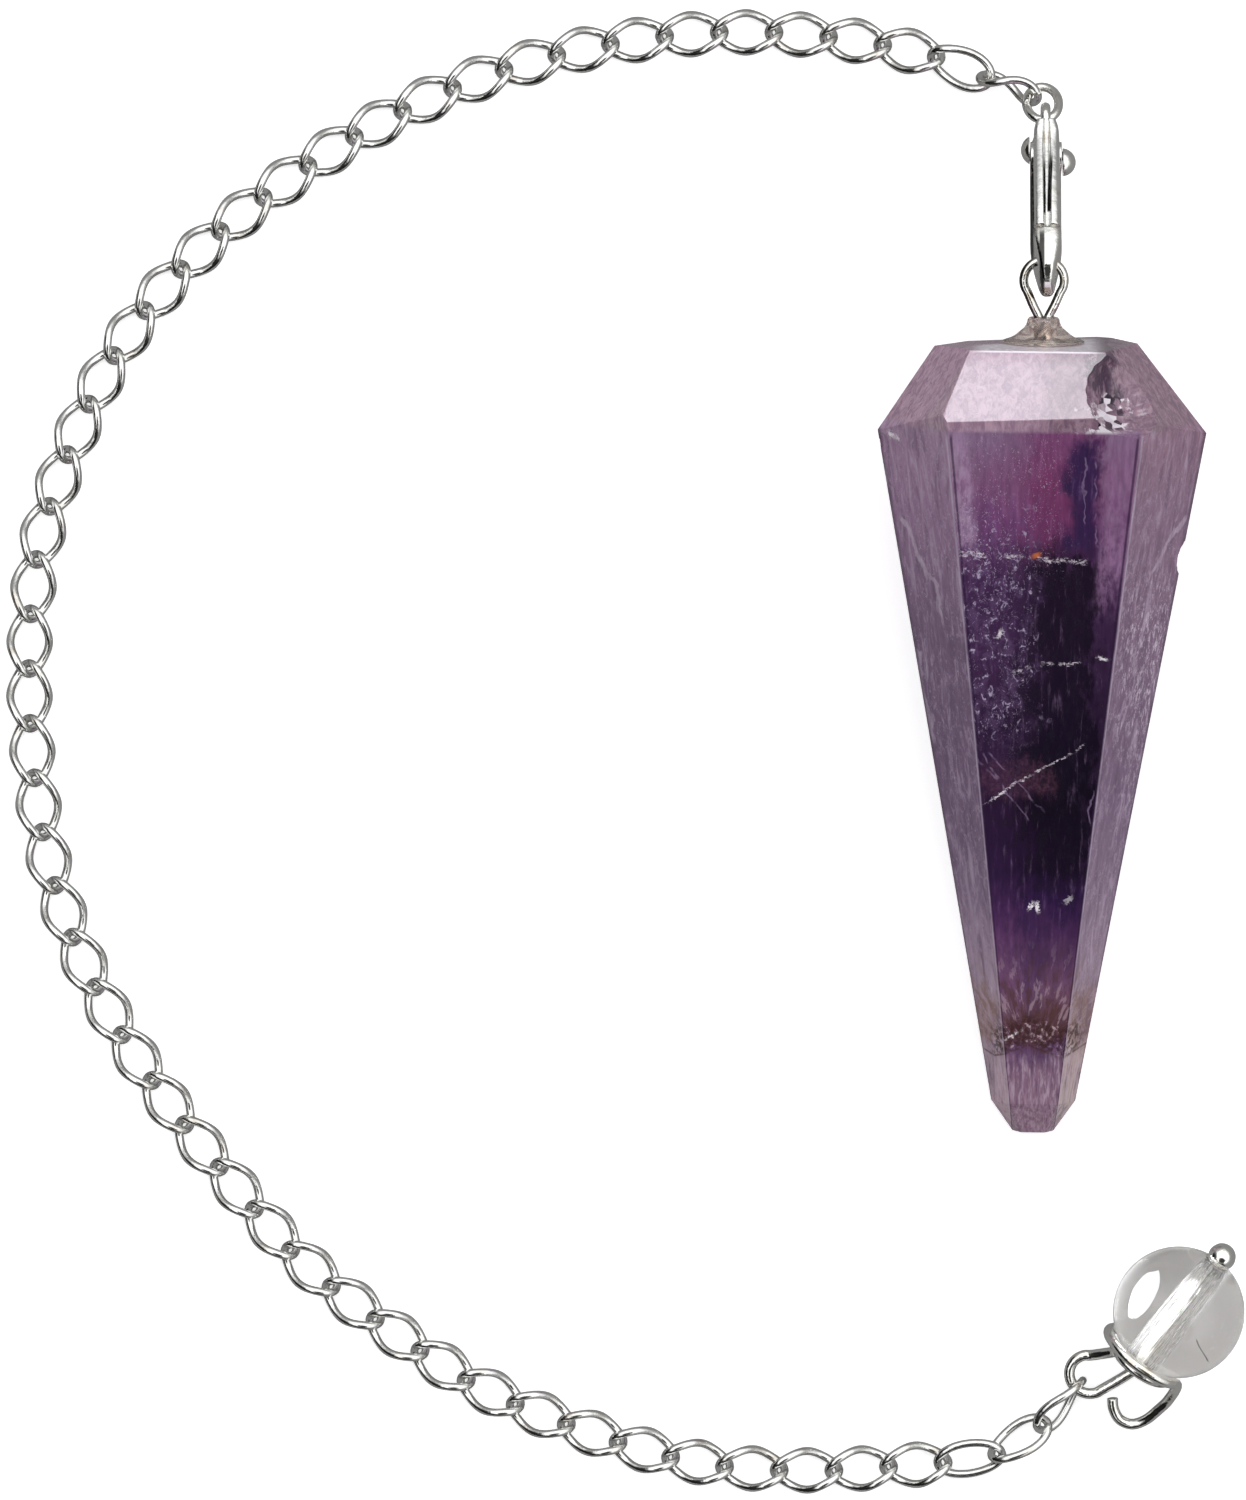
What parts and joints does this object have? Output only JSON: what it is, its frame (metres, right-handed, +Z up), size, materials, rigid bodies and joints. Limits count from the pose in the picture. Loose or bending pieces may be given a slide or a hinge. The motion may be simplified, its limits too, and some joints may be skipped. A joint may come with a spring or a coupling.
{
  "type": "pendulum pendant",
  "caption": "Faceted amethyst point with a wire eye, a lobster clasp and a curb chain that ends in a drilled quartz bead, lying in an open arc.",
  "frame": {"origin": "middle of the footprint, on the surface that the pendant lies on", "axes": "+Y from the stone's tip towards its eye, +Z up from the surface, +X from the chain's arc towards the stone"},
  "size_m": [0.0752, 0.0902, 0.0145],
  "materials": {
    "amethyst": "polished, with flaws inside",
    "resin": "clear, grey and glossy",
    "silver": "bright, with fine scratches",
    "rock_crystal": "polished and clear"
  },
  "bodies": {
    "root": {"amethyst_point": "amethyst", "resin_collar": "resin", "eye_loop": "silver", "clasp_body": "silver", "clasp_pin": "silver", "jump_ring": "silver", "chain": "silver", "quartz_bead": "rock_crystal", "head_pin": "silver"},
    "lever": {"clasp_lever": "silver"}
  },
  "joints": [
    {"name": "lever_hinge", "type": "hinge", "parent": "root", "child": "lever", "pos_m": [0.0255, 0.03601, 0.00576], "axis": [1, 0, 0], "range_deg": [0, 20], "stiffness_Nm_per_rad": 0.004, "springref_deg": -14.9}
  ]
}
